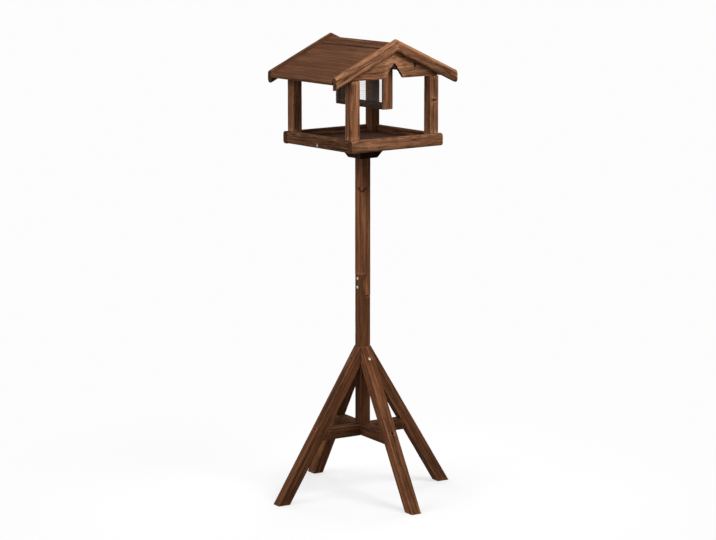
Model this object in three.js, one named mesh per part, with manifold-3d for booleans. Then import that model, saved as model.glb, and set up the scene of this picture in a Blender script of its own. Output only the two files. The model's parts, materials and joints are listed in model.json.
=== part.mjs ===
// Wooden bird table: an open tray under a pitched roof with a built-in nut feeder,
// carried by a two-piece pole on four splayed legs with a crossed brace.
// Lengths are millimetres, angles are degrees and +Z is up. The origin is on the ground under the
// middle of the table. The ridge runs along Y, and the front of the table looks along -Y.
import * as THREE from 'three';
import { mergeVertices } from 'three/addons/utils/BufferGeometryUtils.js';
import Module from 'manifold-3d';

const wasm = await Module();
wasm.setup();

// Timber and clearances
const timber = 38;             // square stock of the pole, the legs and the brace
const timberArris = 3;         // rounding of its edges
const boardArris = 1.5;        // rounding of the small boards' edges
const gap = 0.3;               // clearance between pieces that touch
const overrun = 20;            // how far a cutting block reaches past what it cuts
const arcSteps = 1;            // half the facets in a small rounding
const railArcSteps = 2;        // half the facets in a rail's or bargeboard's large rounding
const roundSteps = 12;         // facets round a screw, bolt or nut hole

// Stand: four legs against the pole, and the crossed brace between them
const footRadius = 320;        // from the pole's axis to the middle of a foot
const legAngle = 32;           // lean of a leg from the plumb line
const legTipTrim = 4;          // blunt end cut on the feather edge at the top of a leg
const braceBottom = 205;       // underside of the brace above the ground
const standTurn = -6;          // twist of the stand and lower pole under the head

// Pole: two lengths joined by a half lap
const lapTop = 759;            // end of the lower length's tongue
const lapLength = 71;
const lowerBoltShare = 0.394;  // of the lap's length, from its lower end
const upperBoltShare = 0.817;

// Tray
const trayBottom = 1201;       // underside of the tray above the ground
const trayWidth = 382;         // along X, over the side rails
const trayDepth = 382;         // along Y, over the front and back rails
const railHeight = 42;
const railThickness = 22;
const railRounding = 10;       // rounding of the rails' and bargeboards' outer edges
const floorThickness = 20;
const floorBoardCount = 5;

// Block that seats the pole under the tray
const blockTopWidth = 120;
const blockBottomWidth = 71;
const blockHeight = 43.5;

// Corner posts
const postSize = 35;
const postSideInset = 8.5;     // from the side rail's outermost line to the post's face
const postFrontInset = 14;     // from the front rail's outermost line to the post's face

// Roof
const roofPitch = 24.2;
const roofRise = 338.8;        // from the tray's underside to where the boards' bearing planes meet
const roofThickness = 12;
const lidEdge = 41;            // from the ridge to the lid's edge, down the slope
const lidClearance = 2.5;      // open joint between the lid and the upper boards
const boardEdgeShares = [0.415, 0.747, 1];   // of the slope: lower edges of the boards
const eaveInset = 0.4;         // from the bargeboards' tips back to the eave, down the slope
const gablePanelThickness = 12;
const gablePanelSetback = 21;  // from the tray's front to the outer face of a gable panel
const gablePanelInset = 1;     // from a post's side face to the end of a gable panel
const gablePanelHeight = 104.5;
const notchWidth = 80;         // of the notch in the lower edge of a gable panel
const notchHeight = 49;
const notchTopRadius = 7.3;
const bargeWidth = 37.4;
const bargeThickness = 20;
const bargeStandProud = 22.4;  // of the bargeboard's top edge over the boards' bearing plane
const roofOverhang = 62;       // of the bargeboards' tips past the tray's sides

// Feeder
const feederWidth = 38;
const feederFrontSpace = 20;   // from the front gable panel to the front end board
const feederBackSpace = 33;    // from the back gable panel to the back end board
const feederDrop = 18.8;       // from the roof boards' ridge down to the end boards' upper ends
const feederHeight = 191;
const endBoardThickness = 12;
const baseRailHeight = 18.5;
const purlinWidth = 25;
const purlinDepth = 26;        // at the purlin's outer face
const netThickness = 1.2;      // over the crossings of its wires
const netLift = 4;             // of the net's lower edge over the feeder's underside

// Fasteners
const legScrewLength = 48;
const legScrewDrop = 39;       // from a leg's tip down to where its upper screw goes in
const braceScrewLength = 62;
const traySeatScrewLength = 42;
const traySeatScrewOffset = 42;   // from the pole's axis to the screws that hold the block
const railScrewLength = 48;
const screwShankRadius = 2.2;
const screwHeadRadius = 4.5;
const screwHeadDepth = 3;
const screwPointLength = 6;
const boltShankRadius = 3;
const boltDomeRadius = 6.5;
const boltDomeHeight = 3.2;
const boltDomeSteps = 4;
const nutSides = 6;
const nutWidth = 10;           // across the flats
const nutHeight = 5;
const boltStickOut = 4;        // of the bolt's end past its nut

// Finish: colour, roughness and metalness of each stuff
const woodShades = ['#6b4632', '#744c35', '#5f3f2e', '#7a5138', '#664431'];
const woodFinish = { roughness: 0.72, metalness: 0 };
const screwFinish = { color: '#c9c2b4', roughness: 0.35, metalness: 0.9 };
const netFinish = { color: '#9a9c98', roughness: 0.4, metalness: 0.85 };

// Angles and places that follow from the sizes above
const lean = THREE.MathUtils.degToRad(legAngle);
const pitch = THREE.MathUtils.degToRad(roofPitch);
const quarterTurn = Math.PI / 2;
const halfTimber = timber / 2;
const braceTop = braceBottom + timber;
const trayTop = trayBottom + railHeight;
const floorTop = trayBottom + floorThickness;
const railInnerX = trayWidth / 2 - railThickness;
const railInnerY = trayDepth / 2 - railThickness;
const postX = trayWidth / 2 - postSideInset - postSize / 2;
const postY = trayDepth / 2 - postFrontInset - postSize / 2;
const slopeApex = trayBottom + roofRise;
const roofTipWidth = trayWidth + 2 * roofOverhang;
const eaveEdge = roofTipWidth / 2 / Math.cos(pitch) - eaveInset;
const boardEdges = boardEdgeShares.map((share) => share * eaveEdge);
const gablePanelFront = trayDepth / 2 - gablePanelSetback;
const gablePanelWidth = 2 * (postX + postSize / 2 - gablePanelInset);
const gablePanelBottom = slopeApex - gablePanelHeight;
const panelBack = gablePanelFront - gablePanelThickness;
const feederFront = panelBack - feederFrontSpace;
const feederBack = panelBack - feederBackSpace;
const blockBottom = trayBottom - gap - blockHeight;
const roofLength = 2 * gablePanelFront;
const feederBottom = slopeApex - feederDrop - feederHeight;
const lapBottom = lapTop - lapLength;
const lowerBoltHeight = lapBottom + lowerBoltShare * lapLength;
const upperBoltHeight = lapBottom + upperBoltShare * lapLength;
const legHalfWidth = halfTimber / Math.cos(lean);     // of a leg, measured level
const legFeather = (footRadius + legHalfWidth - halfTimber - gap) / Math.tan(lean);
const legTip = legFeather - legTipTrim;
const legScrewHeight = legTip - legScrewDrop;

/** Height of the plane that carries the roof boards, at a distance from the middle. */
function slopeHeight(x) {
  return slopeApex - Math.abs(x) * Math.tan(pitch);
}

/** Distance of a leg's outer face from the pole's axis at a height. */
function legOuterFace(height) {
  return footRadius + legHalfWidth - height * Math.tan(lean);
}

/** Distance of a leg's inner face from the pole's axis at a height. */
function legInnerFace(height) {
  return footRadius - legHalfWidth - height * Math.tan(lean);
}

/** The same rounding at all four corners of a section. */
function allRound(radius) {
  return [radius, radius, radius, radius];
}

const boardArrises = allRound(boardArris);

/** Turns a closed three.js geometry into a solid for cutting. */
function solidOf(geometry) {
  const bare = geometry.clone();
  bare.deleteAttribute('normal');
  bare.deleteAttribute('uv');
  const merged = mergeVertices(bare);
  return new wasm.Manifold(new wasm.Mesh({
    numProp: 3,
    vertProperties: new Float32Array(merged.attributes.position.array),
    triVerts: new Uint32Array(merged.index.array),
  }));
}

/** Turns a cut solid back into a flat-shaded three.js geometry. */
function geometryOf(solid) {
  const mesh = solid.getMesh();
  const indexed = new THREE.BufferGeometry();
  indexed.setAttribute('position', new THREE.BufferAttribute(mesh.vertProperties, 3));
  indexed.setIndex(new THREE.BufferAttribute(mesh.triVerts, 1));
  const flat = indexed.toNonIndexed();
  flat.computeVertexNormals();
  return flat;
}

/** Cuts each of the tool geometries out of a geometry. */
function cut(geometry, tools) {
  let solid = solidOf(geometry);
  for (const tool of tools) solid = solid.subtract(solidOf(tool));
  return geometryOf(solid);
}

/** A box between two corners. */
function block(low, high) {
  const size = new THREE.Vector3().subVectors(high, low);
  const middle = new THREE.Vector3().addVectors(low, high).multiplyScalar(0.5);
  return new THREE.BoxGeometry(size.x, size.y, size.z).translate(middle.x, middle.y, middle.z);
}

/** A rectangle round the origin; radii run from the corner at -x -y counter-clockwise. */
function roundedShape(width, height, radii) {
  const corners = [[-1, -1], [1, -1], [1, 1], [-1, 1]];
  const shape = new THREE.Shape();
  corners.forEach(([signX, signY], index) => {
    const radius = radii[index];
    const x = signX * (width / 2 - radius);
    const y = signY * (height / 2 - radius);
    const start = Math.PI + index * quarterTurn;
    const from = [x + radius * Math.cos(start), y + radius * Math.sin(start)];
    if (index === 0) shape.moveTo(...from);
    else shape.lineTo(...from);
    if (radius > 0) shape.absarc(x, y, radius, start, start + quarterTurn, false);
  });
  return shape;
}

/** Extrudes a shape along Z, centred on the origin. */
function bar(shape, length, steps) {
  const settings = { depth: length, bevelEnabled: false, curveSegments: steps };
  return new THREE.ExtrudeGeometry(shape, settings).translate(0, 0, -length / 2);
}

/** Lays an extrusion along X: the shape's x becomes Y and its y becomes Z. */
function alongX(geometry) {
  const x = new THREE.Vector3(0, 1, 0);
  const y = new THREE.Vector3(0, 0, 1);
  const z = new THREE.Vector3(1, 0, 0);
  return geometry.applyMatrix4(new THREE.Matrix4().makeBasis(x, y, z));
}

/** Lays an extrusion along Y: the shape's x stays X and its y becomes Z. */
function alongY(geometry) {
  return geometry.rotateX(quarterTurn);
}

/** Square stock with rounded edges, standing on the origin. */
function squareStock(size, arris, length) {
  const shape = roundedShape(size, size, allRound(arris));
  return bar(shape, length, arcSteps).translate(0, 0, length / 2);
}

/** A polygon from a list of points. */
function polygon(points) {
  return new THREE.Shape(points.map(([x, y]) => new THREE.Vector2(x, y)));
}

let shadeIndex = 0;

/** A named wooden piece; neighbours take different shades. */
function wood(name, geometry) {
  const color = woodShades[shadeIndex % woodShades.length];
  shadeIndex += 1;
  const mesh = new THREE.Mesh(geometry, new THREE.MeshStandardMaterial({ color, ...woodFinish }));
  mesh.name = name;
  return mesh;
}

/** A named metal piece. */
function metal(name, geometry, finish) {
  const mesh = new THREE.Mesh(geometry, new THREE.MeshStandardMaterial(finish));
  mesh.name = name;
  return mesh;
}

/** Revolves a profile of [radius, height] points, from low to high, round Z. */
function revolved(points) {
  const profile = points.map(([radius, height]) => new THREE.Vector2(radius, height));
  return new THREE.LatheGeometry(profile, roundSteps).rotateX(quarterTurn);
}

/** Countersunk screw: the head's flat face is at the origin and the point runs down -Z. */
function screwGeometry(length) {
  return revolved([
    [0, -length],
    [screwShankRadius, -length + screwPointLength],
    [screwShankRadius, -screwHeadDepth],
    [screwHeadRadius, 0],
    [0, 0],
  ]);
}

/** The hole for such a screw, open past the head. */
function screwHole(length) {
  return revolved([
    [0, -length - gap],
    [screwShankRadius + gap, -length + screwPointLength - gap],
    [screwShankRadius + gap, -screwHeadDepth - gap],
    [screwHeadRadius + gap, 0],
    [screwHeadRadius + gap, overrun],
    [0, overrun],
  ]);
}

/** The turn and place that put a screw's head at a point, with its head facing outward. */
function screwPlace(point, outward) {
  const turn = new THREE.Quaternion().setFromUnitVectors(new THREE.Vector3(0, 0, 1), outward);
  return new THREE.Matrix4().compose(point, turn, new THREE.Vector3(1, 1, 1));
}

/** A quarter, half or three-quarter turn round the pole. */
function turned(matrix, angle) {
  return new THREE.Matrix4().makeRotationZ(angle).multiply(matrix);
}

// Places of the screws in the leg that points along +X
const legOutward = new THREE.Vector3(Math.cos(lean), 0, Math.sin(lean));
const legScrewPlace = screwPlace(
  new THREE.Vector3(legOuterFace(legScrewHeight), 0, legScrewHeight), legOutward);
const braceEndHeight = braceBottom + halfTimber;
const braceScrewHeight = braceEndHeight + timber * Math.sin(lean);
const braceScrewPlace = screwPlace(
  new THREE.Vector3(legOuterFace(braceScrewHeight), 0, braceScrewHeight), legOutward);
const legScrewHole = screwHole(legScrewLength).applyMatrix4(legScrewPlace);
const braceScrewHole = screwHole(braceScrewLength).applyMatrix4(braceScrewPlace);

/** A splayed leg along +X: plumb cut against the pole and cut flat on the ground. */
function legGeometry() {
  const length = (legOuterFace(0) + timber) / Math.sin(lean);
  const stock = squareStock(timber, timberArris, length + overrun)
    .translate(0, 0, -overrun - timber)
    .rotateY(-lean)
    .translate(footRadius, 0, 0);
  const reach = footRadius + timber + overrun;
  const tall = length + overrun;
  const plumbCut = block(
    new THREE.Vector3(-reach, -reach, 0), new THREE.Vector3(halfTimber + gap, reach, tall));
  const groundCut = block(
    new THREE.Vector3(0, -reach, -tall), new THREE.Vector3(reach + timber, reach, 0));
  const tipCut = block(
    new THREE.Vector3(-reach, -reach, legTip), new THREE.Vector3(reach, reach, tall));
  return cut(stock, [plumbCut, groundCut, tipCut, legScrewHole, braceScrewHole]);
}

/** One arm pair of the brace along X, with a notch at its middle in its upper or lower half. */
function braceGeometry(notchInTop) {
  const halfLength = legInnerFace(braceBottom) - gap;
  const shape = roundedShape(timber, timber, allRound(timberArris));
  const stock = alongX(bar(shape, 2 * halfLength, arcSteps)).translate(0, 0, braceEndHeight);
  const middle = braceEndHeight;
  const low = notchInTop ? middle - gap / 2 : braceBottom - overrun;
  const high = notchInTop ? braceTop + overrun : middle + gap / 2;
  const notch = block(
    new THREE.Vector3(-halfTimber - gap, -timber, low),
    new THREE.Vector3(halfTimber + gap, timber, high));
  const slopedEnds = [0, Math.PI].map((angle) => {
    const rake = new THREE.BoxGeometry(timber, timber + overrun, timber / Math.cos(lean) + overrun)
      .translate(halfTimber, 0, 0)
      .rotateY(-lean)
      .translate(legInnerFace(braceEndHeight) - gap, 0, braceEndHeight);
    return rake.rotateZ(angle);
  });
  const holes = [0, Math.PI].map((angle) => braceScrewHole.clone().rotateZ(angle));
  return cut(stock, [notch, ...slopedEnds, ...holes]);
}

/** A bolt hole along X through the half lap. */
function boltHole(height) {
  return revolved([
    [0, -timber - overrun],
    [boltShankRadius + gap, -timber - overrun],
    [boltShankRadius + gap, timber + overrun],
    [0, timber + overrun],
  ]).rotateY(quarterTurn).translate(0, 0, height);
}

/** Lower length of the pole, with its tongue on the -X side. */
function lowerPoleGeometry() {
  const foot = braceTop + gap;
  const stock = squareStock(timber, timberArris, lapTop - gap / 2 - foot).translate(0, 0, foot);
  const lap = block(
    new THREE.Vector3(-gap / 2, -timber, lapBottom - gap / 2),
    new THREE.Vector3(timber, timber, lapTop + overrun));
  const legHoles = [0, 1, 2, 3].map((index) => legScrewHole.clone().rotateZ(index * quarterTurn));
  return cut(stock, [lap, boltHole(upperBoltHeight), boltHole(lowerBoltHeight), ...legHoles]);
}

/** Upper length of the pole in the head's frame; its lap is cut square to the lower length. */
function upperPoleGeometry() {
  const foot = lapBottom + gap / 2;
  const head = trayBottom - gap;
  const stock = squareStock(timber, timberArris, head - foot).translate(0, 0, foot);
  const turn = THREE.MathUtils.degToRad(standTurn);
  const lap = block(
    new THREE.Vector3(-timber, -timber, lapBottom - overrun),
    new THREE.Vector3(gap / 2, timber, lapTop + gap / 2));
  const tools = [lap, boltHole(upperBoltHeight), boltHole(lowerBoltHeight)];
  return cut(stock, tools.map((tool) => tool.rotateZ(turn)));
}

/** Domed bolt through the half lap, with its head on the -X face. */
function boltGeometry() {
  const head = halfTimber + gap;
  const end = halfTimber + gap + nutHeight + boltStickOut;
  const dome = Array.from({ length: boltDomeSteps }, (_, index) => {
    const angle = quarterTurn * (index + 1) / boltDomeSteps;
    return [boltDomeRadius * Math.sin(angle), -head - boltDomeHeight * Math.cos(angle)];
  });
  return revolved([
    [0, -head - boltDomeHeight],
    ...dome,
    [boltShankRadius, -head],
    [boltShankRadius, end],
    [0, end],
  ]).rotateY(quarterTurn);
}

/** Six-sided nut on the +X end of the bolt. */
function nutGeometry() {
  const shape = new THREE.Shape();
  const corner = nutWidth / 2 / Math.cos(Math.PI / nutSides);
  for (let index = 0; index < nutSides; index += 1) {
    const angle = index * 2 * Math.PI / nutSides;
    const point = [corner * Math.cos(angle), corner * Math.sin(angle)];
    if (index === 0) shape.moveTo(...point);
    else shape.lineTo(...point);
  }
  const bore = new THREE.Path();
  bore.absarc(0, 0, boltShankRadius + gap, 0, 2 * Math.PI, true);
  shape.holes.push(bore);
  const skewClearance = nutWidth * Math.tan(THREE.MathUtils.degToRad(Math.abs(standTurn))) / 2;
  const seat = halfTimber + gap + skewClearance;
  return bar(shape, nutHeight, roundSteps / 2).rotateY(quarterTurn)
    .translate(seat + nutHeight / 2, 0, 0);
}

/** The stand: legs, brace, lower pole and their fasteners. */
function buildStand() {
  const stand = new THREE.Group();
  stand.rotation.z = THREE.MathUtils.degToRad(standTurn);
  const sides = ['right', 'back', 'left', 'front'];
  const leg = legGeometry();
  sides.forEach((side, index) => {
    const quarter = new THREE.Group();
    quarter.rotation.z = index * quarterTurn;
    quarter.add(wood(`leg_${side}`, leg));
    const legScrew = metal(`leg_screw_${side}`, screwGeometry(legScrewLength), screwFinish);
    legScrew.applyMatrix4(legScrewPlace);
    const braceScrew = metal(`brace_screw_${side}`, screwGeometry(braceScrewLength), screwFinish);
    braceScrew.applyMatrix4(braceScrewPlace);
    quarter.add(legScrew, braceScrew);
    stand.add(quarter);
  });
  const acrossBrace = wood('brace_front_back', braceGeometry(true));
  acrossBrace.rotation.z = quarterTurn;
  stand.add(wood('brace_left_right', braceGeometry(false)), acrossBrace);
  stand.add(wood('pole_lower', lowerPoleGeometry()));
  for (const [place, height] of [['upper', upperBoltHeight], ['lower', lowerBoltHeight]]) {
    const bolt = metal(`pole_bolt_${place}`, boltGeometry(), screwFinish);
    const nut = metal(`pole_nut_${place}`, nutGeometry(), screwFinish);
    bolt.position.z = height;
    nut.position.z = height;
    stand.add(bolt, nut);
  }
  return stand;
}

/** Block under the tray: a pyramid without its top, with a socket for the pole. */
function seatBlockGeometry() {
  const radius = blockTopWidth / Math.SQRT2;
  const lowRadius = blockBottomWidth / Math.SQRT2;
  const sides = 4;
  const pyramid = new THREE.CylinderGeometry(radius, lowRadius, blockHeight, sides)
    .rotateY(quarterTurn / 2)
    .rotateX(quarterTurn)
    .translate(0, 0, blockBottom + blockHeight / 2);
  const socket = squareStock(timber + 2 * gap, timberArris, blockHeight + 2 * overrun)
    .translate(0, 0, blockBottom - overrun);
  return cut(pyramid, [socket, ...seatScrewHoles()]);
}

const seatScrewPlaces = [-1, 1].map((side) => screwPlace(
  new THREE.Vector3(side * traySeatScrewOffset, 0, floorTop), new THREE.Vector3(0, 0, 1)));
const railScrewPlaces = [-1, 1].map((side) => screwPlace(
  new THREE.Vector3(side * trayWidth / 2, 0, trayBottom + floorThickness / 2),
  new THREE.Vector3(side, 0, 0)));

/** Holes for the screws that hold the block. */
function seatScrewHoles() {
  return seatScrewPlaces.map((place) => screwHole(traySeatScrewLength).applyMatrix4(place));
}

/** Holes for the screws through the side rails. */
function railScrewHoles() {
  return railScrewPlaces.map((place) => screwHole(railScrewLength).applyMatrix4(place));
}

/** A rail along X with its rounded face on the -Y side, centred on its own axis. */
function railGeometry(length) {
  const shape = roundedShape(railThickness, railHeight, [railRounding, 0, 0, railRounding]);
  return alongX(bar(shape, length, railArcSteps));
}

/** Corner post: rebated over the rails at its foot, and for the gable panel at its head. */
function postGeometry(signX, signY) {
  const stock = squareStock(postSize, timberArris, slopeApex - floorTop)
    .translate(signX * postX, signY * postY, floorTop + gap);
  const reach = trayWidth;
  const at = (x, y, z) => new THREE.Vector3(signX * x, signY * y, z);
  const between = (first, second) => block(first.clone().min(second), first.clone().max(second));
  const overSideRail = between(
    at(railInnerX - gap, 0, trayBottom - overrun), at(reach, reach, trayTop + gap));
  const overFrontRail = between(
    at(0, railInnerY - gap, trayBottom - overrun), at(reach, reach, trayTop + gap));
  const behindPanel = between(
    at(0, panelBack - gap, gablePanelBottom - gap), at(reach, reach, slopeApex + postSize));
  const underRoof = new THREE.BoxGeometry(2 * reach, 2 * reach, reach)
    .translate(0, 0, reach / 2)
    .rotateY(signX * pitch)
    .translate(0, 0, slopeApex - gap / Math.cos(pitch));
  return cut(stock, [overSideRail, overFrontRail, behindPanel, underRoof]);
}

/** The tray: floor, rails, corner posts, the block under it and its screws. */
function buildTray() {
  const tray = new THREE.Group();
  const boardPitch = 2 * railInnerY / floorBoardCount;
  for (let index = 0; index < floorBoardCount; index += 1) {
    const y = -railInnerY + boardPitch * (index + 1 / 2);
    const shape = roundedShape(boardPitch - gap, floorThickness, boardArrises);
    const board = alongX(bar(shape, 2 * (railInnerX - gap), arcSteps))
      .translate(0, y, trayBottom + floorThickness / 2);
    tray.add(wood(`floor_board_${index + 1}`, cut(board, [...seatScrewHoles(), ...railScrewHoles()])));
  }
  for (const [name, angle] of [['front', 0], ['back', Math.PI]]) {
    const rail = railGeometry(trayWidth)
      .translate(0, -trayDepth / 2 + railThickness / 2, trayBottom + railHeight / 2);
    tray.add(wood(`rail_${name}`, rail.rotateZ(angle)));
  }
  for (const [name, side] of [['right', 1], ['left', -1]]) {
    const rail = railGeometry(2 * (railInnerY - gap))
      .translate(0, -trayWidth / 2 + railThickness / 2, trayBottom + railHeight / 2)
      .rotateZ(side * quarterTurn);
    tray.add(wood(`rail_${name}`, cut(rail, railScrewHoles())));
  }
  for (const [name, signX, signY] of [
    ['front_left', -1, -1], ['front_right', 1, -1], ['back_right', 1, 1], ['back_left', -1, 1]]) {
    tray.add(wood(`post_${name}`, postGeometry(signX, signY)));
  }
  tray.add(wood('pole_seat_block', seatBlockGeometry()));
  ['left', 'right'].forEach((side, index) => {
    const seatScrew = metal(`seat_screw_${side}`, screwGeometry(traySeatScrewLength), screwFinish);
    seatScrew.applyMatrix4(seatScrewPlaces[index]);
    const railScrew = metal(`rail_screw_${side}`, screwGeometry(railScrewLength), screwFinish);
    railScrew.applyMatrix4(railScrewPlaces[index]);
    tray.add(seatScrew, railScrew);
  });
  return tray;
}

/** A point of the +X roof slope: down the slope from the ridge, and up from the bearing plane. */
function onSlope(down, up) {
  return [
    down * Math.cos(pitch) + up * Math.sin(pitch),
    slopeApex - down * Math.sin(pitch) + up * Math.cos(pitch),
  ];
}

/** A roof board on the +X slope between two lines, measured down the slope from the ridge. */
function roofBoardGeometry(upper, lower) {
  const shape = roundedShape(lower - upper, roofThickness, boardArrises);
  const [x, z] = onSlope((upper + lower) / 2, roofThickness / 2);
  return alongY(bar(shape, roofLength, arcSteps)).rotateY(pitch).translate(x, 0, z);
}

/** Gable panel on the front, with the notch in its lower edge. */
function gablePanelGeometry() {
  const half = gablePanelWidth / 2;
  const clearance = gap / Math.cos(pitch);
  const centre = notchHeight - notchTopRadius;
  const toCentre = Math.hypot(notchWidth / 2, centre);
  const flank = Math.atan2(centre, notchWidth / 2) + Math.asin(notchTopRadius / toCentre);
  const arcStart = flank + quarterTurn;
  const shape = new THREE.Shape();
  shape.moveTo(-half, gablePanelBottom);
  shape.lineTo(-notchWidth / 2, gablePanelBottom);
  shape.lineTo(
    notchTopRadius * Math.cos(arcStart),
    gablePanelBottom + centre + notchTopRadius * Math.sin(arcStart));
  shape.absarc(0, gablePanelBottom + centre, notchTopRadius, arcStart, Math.PI - arcStart, true);
  shape.lineTo(notchWidth / 2, gablePanelBottom);
  shape.lineTo(half, gablePanelBottom);
  shape.lineTo(half, slopeHeight(half) - clearance);
  shape.lineTo(0, slopeApex - clearance);
  shape.lineTo(-half, slopeHeight(half) - clearance);
  return alongY(bar(shape, gablePanelThickness, railArcSteps))
    .translate(0, -gablePanelFront + gablePanelThickness / 2, 0);
}

/** Bargeboard on the front of the +X slope: rounded outer edges, plumb cuts at both ends. */
function bargeGeometry() {
  const length = roofTipWidth;
  const shape = roundedShape(bargeThickness, bargeWidth, [railRounding, 0, 0, railRounding]);
  const acrossY = new THREE.Vector3(0, 1, 0);
  const up = new THREE.Vector3(Math.sin(pitch), 0, Math.cos(pitch));
  const down = new THREE.Vector3(Math.cos(pitch), 0, -Math.sin(pitch));
  const stock = bar(shape, length, railArcSteps)
    .translate(0, bargeStandProud - bargeWidth / 2, length / 2 - overrun)
    .applyMatrix4(new THREE.Matrix4().makeBasis(acrossY, up, down))
    .translate(0, -gablePanelFront - gap - bargeThickness / 2, slopeApex);
  const deep = gablePanelFront + bargeThickness + overrun;
  const ridgeCut = block(
    new THREE.Vector3(-length, -deep, slopeApex - length),
    new THREE.Vector3(gap / 2, deep, slopeApex + length));
  const tipCut = block(
    new THREE.Vector3(roofTipWidth / 2, -deep, slopeApex - length),
    new THREE.Vector3(2 * length, deep, slopeApex + length));
  return cut(stock, [ridgeCut, tipCut]);
}

/** The roof: gable panels, bargeboards and boards. */
function buildRoof() {
  const roof = new THREE.Group();
  for (const [end, angle, plusSide, minusSide] of [
    ['front', 0, 'right', 'left'], ['back', Math.PI, 'left', 'right']]) {
    const gable = new THREE.Group();
    gable.rotation.z = angle;
    gable.add(wood(`gable_panel_${end}`, gablePanelGeometry()));
    const barge = bargeGeometry();
    gable.add(wood(`bargeboard_${end}_${plusSide}`, barge));
    const mirrored = geometryOf(solidOf(barge).mirror([1, 0, 0]));
    gable.add(wood(`bargeboard_${end}_${minusSide}`, mirrored));
    roof.add(gable);
  }
  for (const [side, angle] of [['right', 0], ['left', Math.PI]]) {
    let upper = lidEdge + lidClearance;
    ['upper', 'middle', 'eave'].forEach((place, index) => {
      const geometry = roofBoardGeometry(upper, boardEdges[index]);
      roof.add(wood(`roof_board_${side}_${place}`, geometry.rotateZ(angle)));
      upper = boardEdges[index] + gap;
    });
  }
  return roof;
}

/** The lift-off ridge lid: two strips that meet at the ridge, flush with the roof boards. */
function buildRidgeLid() {
  const lid = new THREE.Group();
  const middle = gap / 2;
  const ridgeHeight = (up) => slopeApex + (up - middle * Math.sin(pitch)) / Math.cos(pitch);
  const outline = [
    [middle, ridgeHeight(0)],
    onSlope(lidEdge, 0),
    onSlope(lidEdge, roofThickness - boardArris),
    onSlope(lidEdge - boardArris, roofThickness),
    [middle, ridgeHeight(roofThickness)],
  ];
  for (const [side, angle] of [['right', 0], ['left', Math.PI]]) {
    const geometry = alongY(bar(polygon(outline), roofLength - 2 * gap, arcSteps));
    lid.add(wood(`ridge_lid_strip_${side}`, geometry.rotateZ(angle)));
  }
  return lid;
}

/** A side net standing in the YZ plane from the origin, as one plain sheet. */
function netGeometry(length, height) {
  const half = netThickness / 2;
  return block(new THREE.Vector3(-half, 0, 0), new THREE.Vector3(half, length, height));
}

/** The feeder: end boards, base rail, side nets and the purlins that carry it. */
function buildFeeder() {
  const feeder = new THREE.Group();
  for (const [name, y] of [
    ['front', endBoardThickness / 2 - feederFront], ['back', feederBack - endBoardThickness / 2]]) {
    const shape = roundedShape(feederWidth, endBoardThickness, boardArrises);
    const board = bar(shape, feederHeight, arcSteps).translate(0, y, feederBottom + feederHeight / 2);
    feeder.add(wood(`feeder_end_${name}`, board));
  }
  const baseShape = roundedShape(feederWidth, baseRailHeight, boardArrises);
  const baseLength = feederFront + feederBack - 2 * (endBoardThickness + gap);
  const base = alongY(bar(baseShape, baseLength, arcSteps))
    .translate(0, (feederBack - feederFront) / 2, feederBottom + baseRailHeight / 2);
  feeder.add(wood('feeder_base_rail', base));
  const netSide = feederWidth / 2 + gap + netThickness / 2;
  const purlinInner = netSide + netThickness / 2 + gap;
  const purlinOuter = purlinInner + purlinWidth;
  const clearance = gap / Math.cos(pitch);
  const purlinBottom = slopeHeight(purlinOuter) - clearance - purlinDepth;
  const purlinOutline = [
    [purlinInner, purlinBottom],
    [purlinOuter, purlinBottom],
    [purlinOuter, slopeHeight(purlinOuter) - clearance],
    [purlinInner, slopeHeight(purlinInner) - clearance],
  ];
  for (const [name, sign, angle] of [['right', 1, 0], ['left', -1, Math.PI]]) {
    const net = netGeometry(feederFront + feederBack, feederHeight - netLift)
      .translate(sign * netSide, -feederFront, feederBottom + netLift);
    feeder.add(metal(`feeder_net_${name}`, net, netFinish));
    const purlin = alongY(bar(polygon(purlinOutline), 2 * (panelBack - gap), arcSteps));
    feeder.add(wood(`purlin_${name}`, purlin.rotateZ(angle)));
  }
  return feeder;
}

const group = new THREE.Group();
group.add(buildStand());
group.add(wood('pole_upper', upperPoleGeometry()));
group.add(buildTray(), buildRoof(), buildRidgeLid(), buildFeeder());

export default group;
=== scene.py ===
# %% [markdown]
# # A stained wooden bird table
#
# The table is an open tray under a pitched roof, held up by a pole on four splayed legs. The solid
# pieces arrive ready measured and placed, so this lesson is about what makes them look like timber:
# rounded and slightly worn edges, saw cuts, grain that runs the right way through every piece, and
# small metal fittings. First the fixed solids are loaded. Nothing that is made here may be larger
# than they are.

# %% Load the solid pieces
import json
import math
import random

import bmesh
import bpy
import numpy as np
from mathutils import Matrix, Vector, noise


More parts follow.
